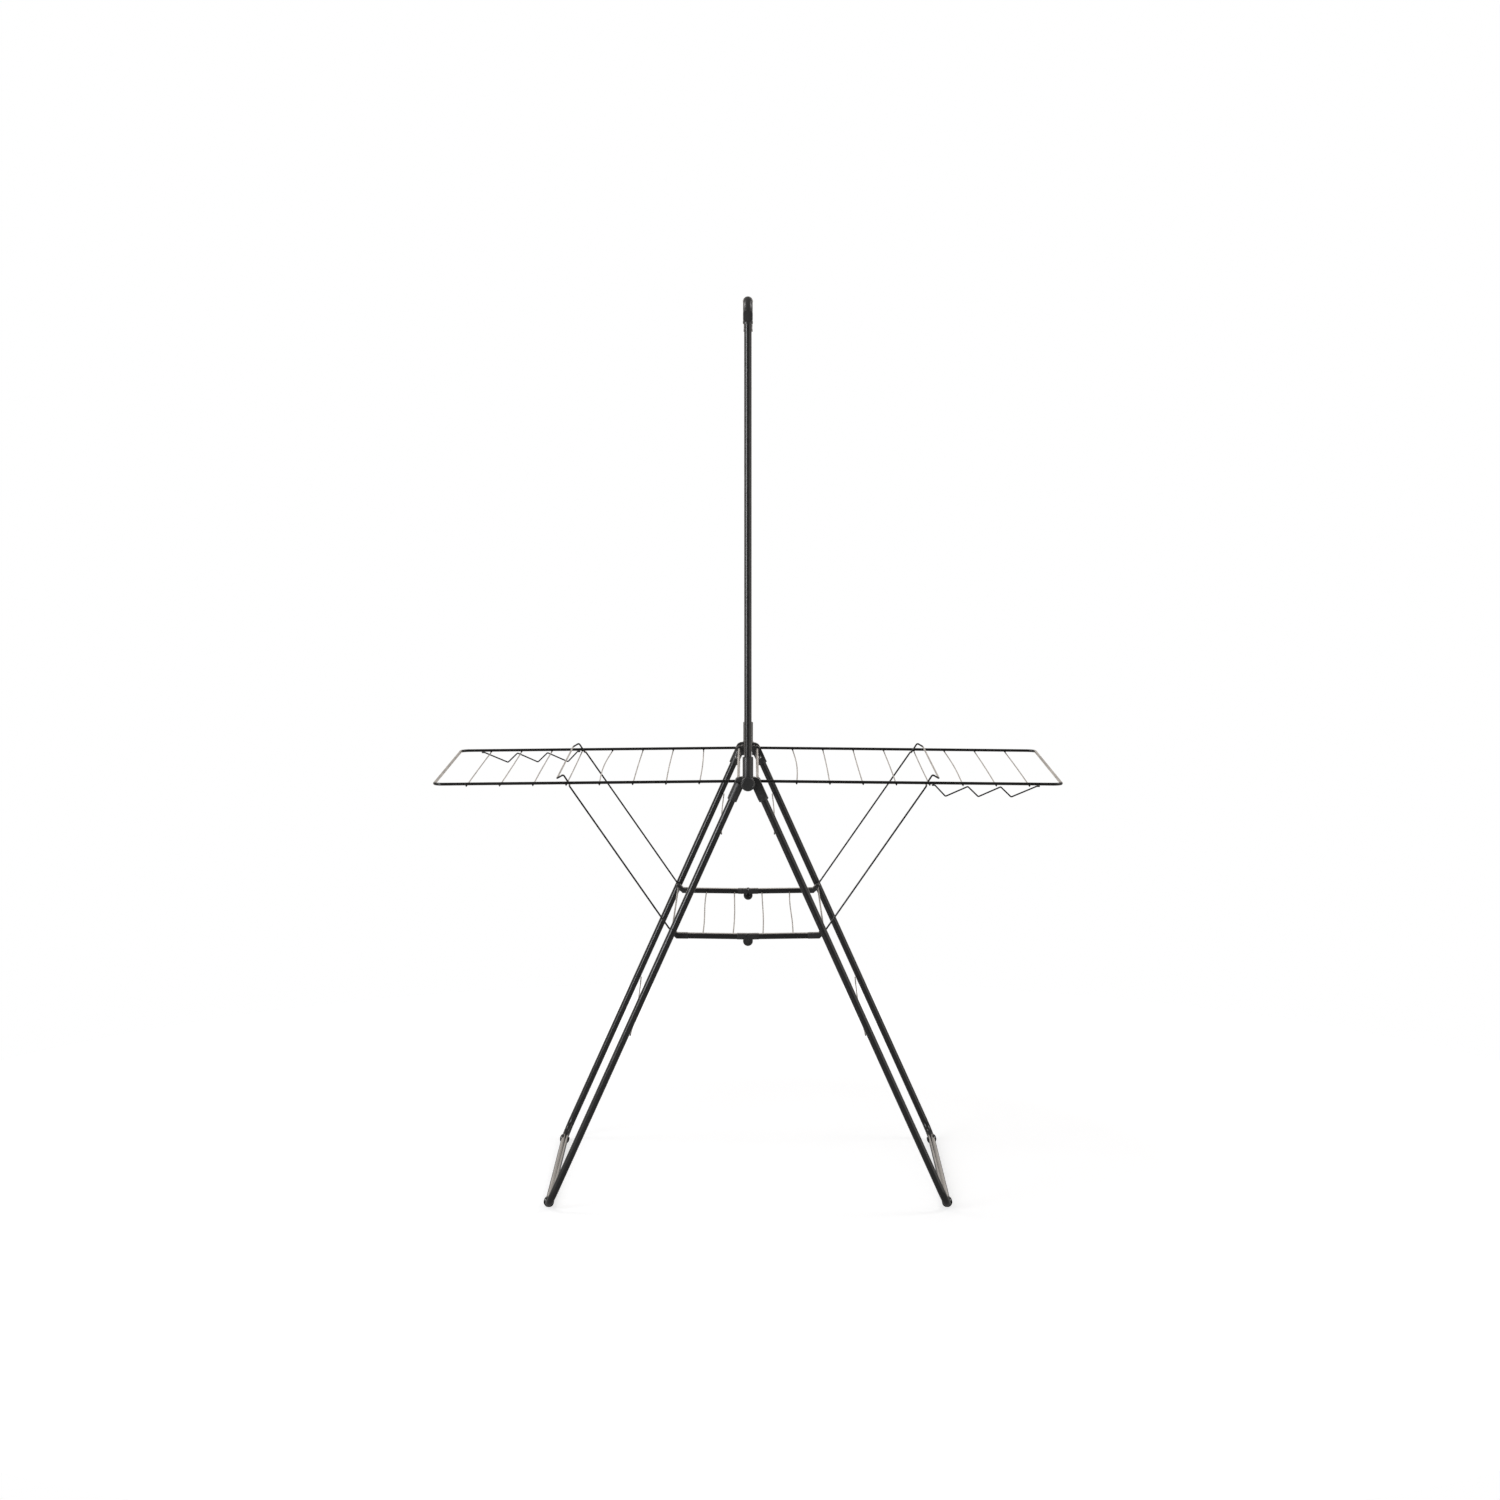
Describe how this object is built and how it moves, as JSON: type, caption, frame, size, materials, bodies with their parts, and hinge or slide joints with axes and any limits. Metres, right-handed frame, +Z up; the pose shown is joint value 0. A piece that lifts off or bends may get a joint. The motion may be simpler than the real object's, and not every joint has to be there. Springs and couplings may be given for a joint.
{
  "type": "folding clothes airer",
  "caption": "Free-standing folding clothes airer with two hinged leg frames, two drying wings on wire supports, a folding brace shelf and a raised hanger rod.",
  "frame": {"origin": "on the floor, under the middle of the airer in both directions", "axes": "+Z up; +X across the wings, from the hinge line to the right wing's outer bar; +Y along the drying lines, from the near end to the far end"},
  "size_m": [1.276, 0.7168, 1.856],
  "materials": {
    "coated_tube": "black powder coat, satin",
    "coated_wire": "black powder coat, satin",
    "moulded_plastic": "black injection-moulded plastic, fine grain",
    "foot_rubber": "black rubber, matte",
    "bright_pin": "bright steel"
  },
  "bodies": {
    "hub": {"hub_near": "moulded_plastic", "hub_far": "moulded_plastic", "pivot_bolt_near": "bright_pin", "pivot_bolt_far": "bright_pin", "pivot_cap_near": "moulded_plastic", "pivot_cap_far": "moulded_plastic"},
    "hanger_rod": {"rod_upright_near": "coated_tube", "rod_upright_far": "coated_tube", "rod_corner_near": "moulded_plastic", "rod_corner_far": "moulded_plastic", "rod_top_bar": "coated_tube"},
    "brace_knuckle": {"knuckle_pin_near": "bright_pin", "knuckle_pin_far": "bright_pin"},
    "leg_right": {"leg_frame_right": "coated_tube", "leg_connector_right_near": "moulded_plastic", "leg_connector_right_far": "moulded_plastic", "foot_ring_right_near": "foot_rubber", "foot_ring_right_far": "foot_rubber", "leg_cross_wire_right_upper": "coated_wire", "leg_cross_wire_right_lower": "coated_wire"},
    "wing_right": {"wing_frame_right": "coated_wire", "drying_line_right_1": "coated_wire", "drying_line_right_2": "coated_wire", "drying_line_right_3": "coated_wire", "drying_line_right_4": "coated_wire", "drying_line_right_5": "coated_wire", "drying_line_right_6": "coated_wire", "drying_line_right_7": "coated_wire", "drying_line_right_8": "coated_wire", "hanger_hook_wire_right": "coated_wire"},
    "support_right": {"wing_support_right": "coated_wire"},
    "brace_right": {"brace_bar_right_near": "coated_tube", "brace_bar_right_far": "coated_tube", "brace_line_right_inner": "coated_wire", "brace_line_right_outer": "coated_wire", "brace_shaft_right": "coated_wire"},
    "leg_left": {"leg_frame_left": "coated_tube", "leg_connector_left_near": "moulded_plastic", "leg_connector_left_far": "moulded_plastic", "foot_ring_left_near": "foot_rubber", "foot_ring_left_far": "foot_rubber", "leg_cross_wire_left_upper": "coated_wire", "leg_cross_wire_left_lower": "coated_wire"},
    "wing_left": {"wing_frame_left": "coated_wire", "drying_line_left_1": "coated_wire", "drying_line_left_2": "coated_wire", "drying_line_left_3": "coated_wire", "drying_line_left_4": "coated_wire", "drying_line_left_5": "coated_wire", "drying_line_left_6": "coated_wire", "drying_line_left_7": "coated_wire", "drying_line_left_8": "coated_wire", "hanger_hook_wire_left": "coated_wire"},
    "support_left": {"wing_support_left": "coated_wire"},
    "brace_left": {"brace_bar_left_near": "coated_tube", "brace_bar_left_far": "coated_tube", "brace_line_left_inner": "coated_wire", "brace_line_left_outer": "coated_wire", "brace_shaft_left": "coated_wire"}
  },
  "joints": [
    {"name": "leg_right_fold", "type": "hinge", "parent": "hub", "child": "leg_right", "pos_m": [0, 0, 0.8865], "axis": [0, 1, 0], "range_deg": [0, 24]},
    {"name": "leg_left_fold", "type": "hinge", "parent": "hub", "child": "leg_left", "pos_m": [0, 0, 0.8865], "axis": [0, -1, 0], "range_deg": [0, 24]},
    {"name": "brace_lift", "type": "slide", "parent": "hub", "child": "brace_knuckle", "axis": [0, 0, 1], "range_m": [0, 0.14]},
    {"name": "hanger_rod_lift", "type": "slide", "parent": "hub", "child": "hanger_rod", "axis": [0, 0, 1], "range_m": [0, 0.034]},
    {"name": "brace_right_fold", "type": "hinge", "parent": "brace_knuckle", "child": "brace_right", "pos_m": [0, 0, 0.5585], "axis": [0, 1, 0], "range_deg": [0, 92.1]},
    {"name": "wing_right_fold", "type": "hinge", "parent": "leg_right", "child": "wing_right", "pos_m": [0.0195, 0, 0.8865], "axis": [0, 1, 0], "range_deg": [0, 63]},
    {"name": "support_right_swing", "type": "hinge", "parent": "leg_right", "child": "support_right", "pos_m": [0.1545, 0, 0.5786], "axis": [0, 1, 0], "range_deg": [0, 117]},
    {"name": "brace_left_fold", "type": "hinge", "parent": "brace_knuckle", "child": "brace_left", "pos_m": [0, 0, 0.5585], "axis": [0, -1, 0], "range_deg": [0, 92.1]},
    {"name": "wing_left_fold", "type": "hinge", "parent": "leg_left", "child": "wing_left", "pos_m": [-0.0195, 0, 0.8865], "axis": [0, -1, 0], "range_deg": [0, 63]},
    {"name": "support_left_swing", "type": "hinge", "parent": "leg_left", "child": "support_left", "pos_m": [-0.1545, 0, 0.5786], "axis": [0, -1, 0], "range_deg": [0, 117]}
  ],
  "couplings": [
    {"joint": "leg_left_fold", "follows": "leg_right_fold", "ratio": 1},
    {"joint": "brace_lift", "follows": "leg_right_fold", "m_per_rad": 0.3315},
    {"joint": "brace_right_fold", "follows": "leg_right_fold", "ratio": 3.8147},
    {"joint": "brace_left_fold", "follows": "leg_right_fold", "ratio": 3.8147}
  ]
}
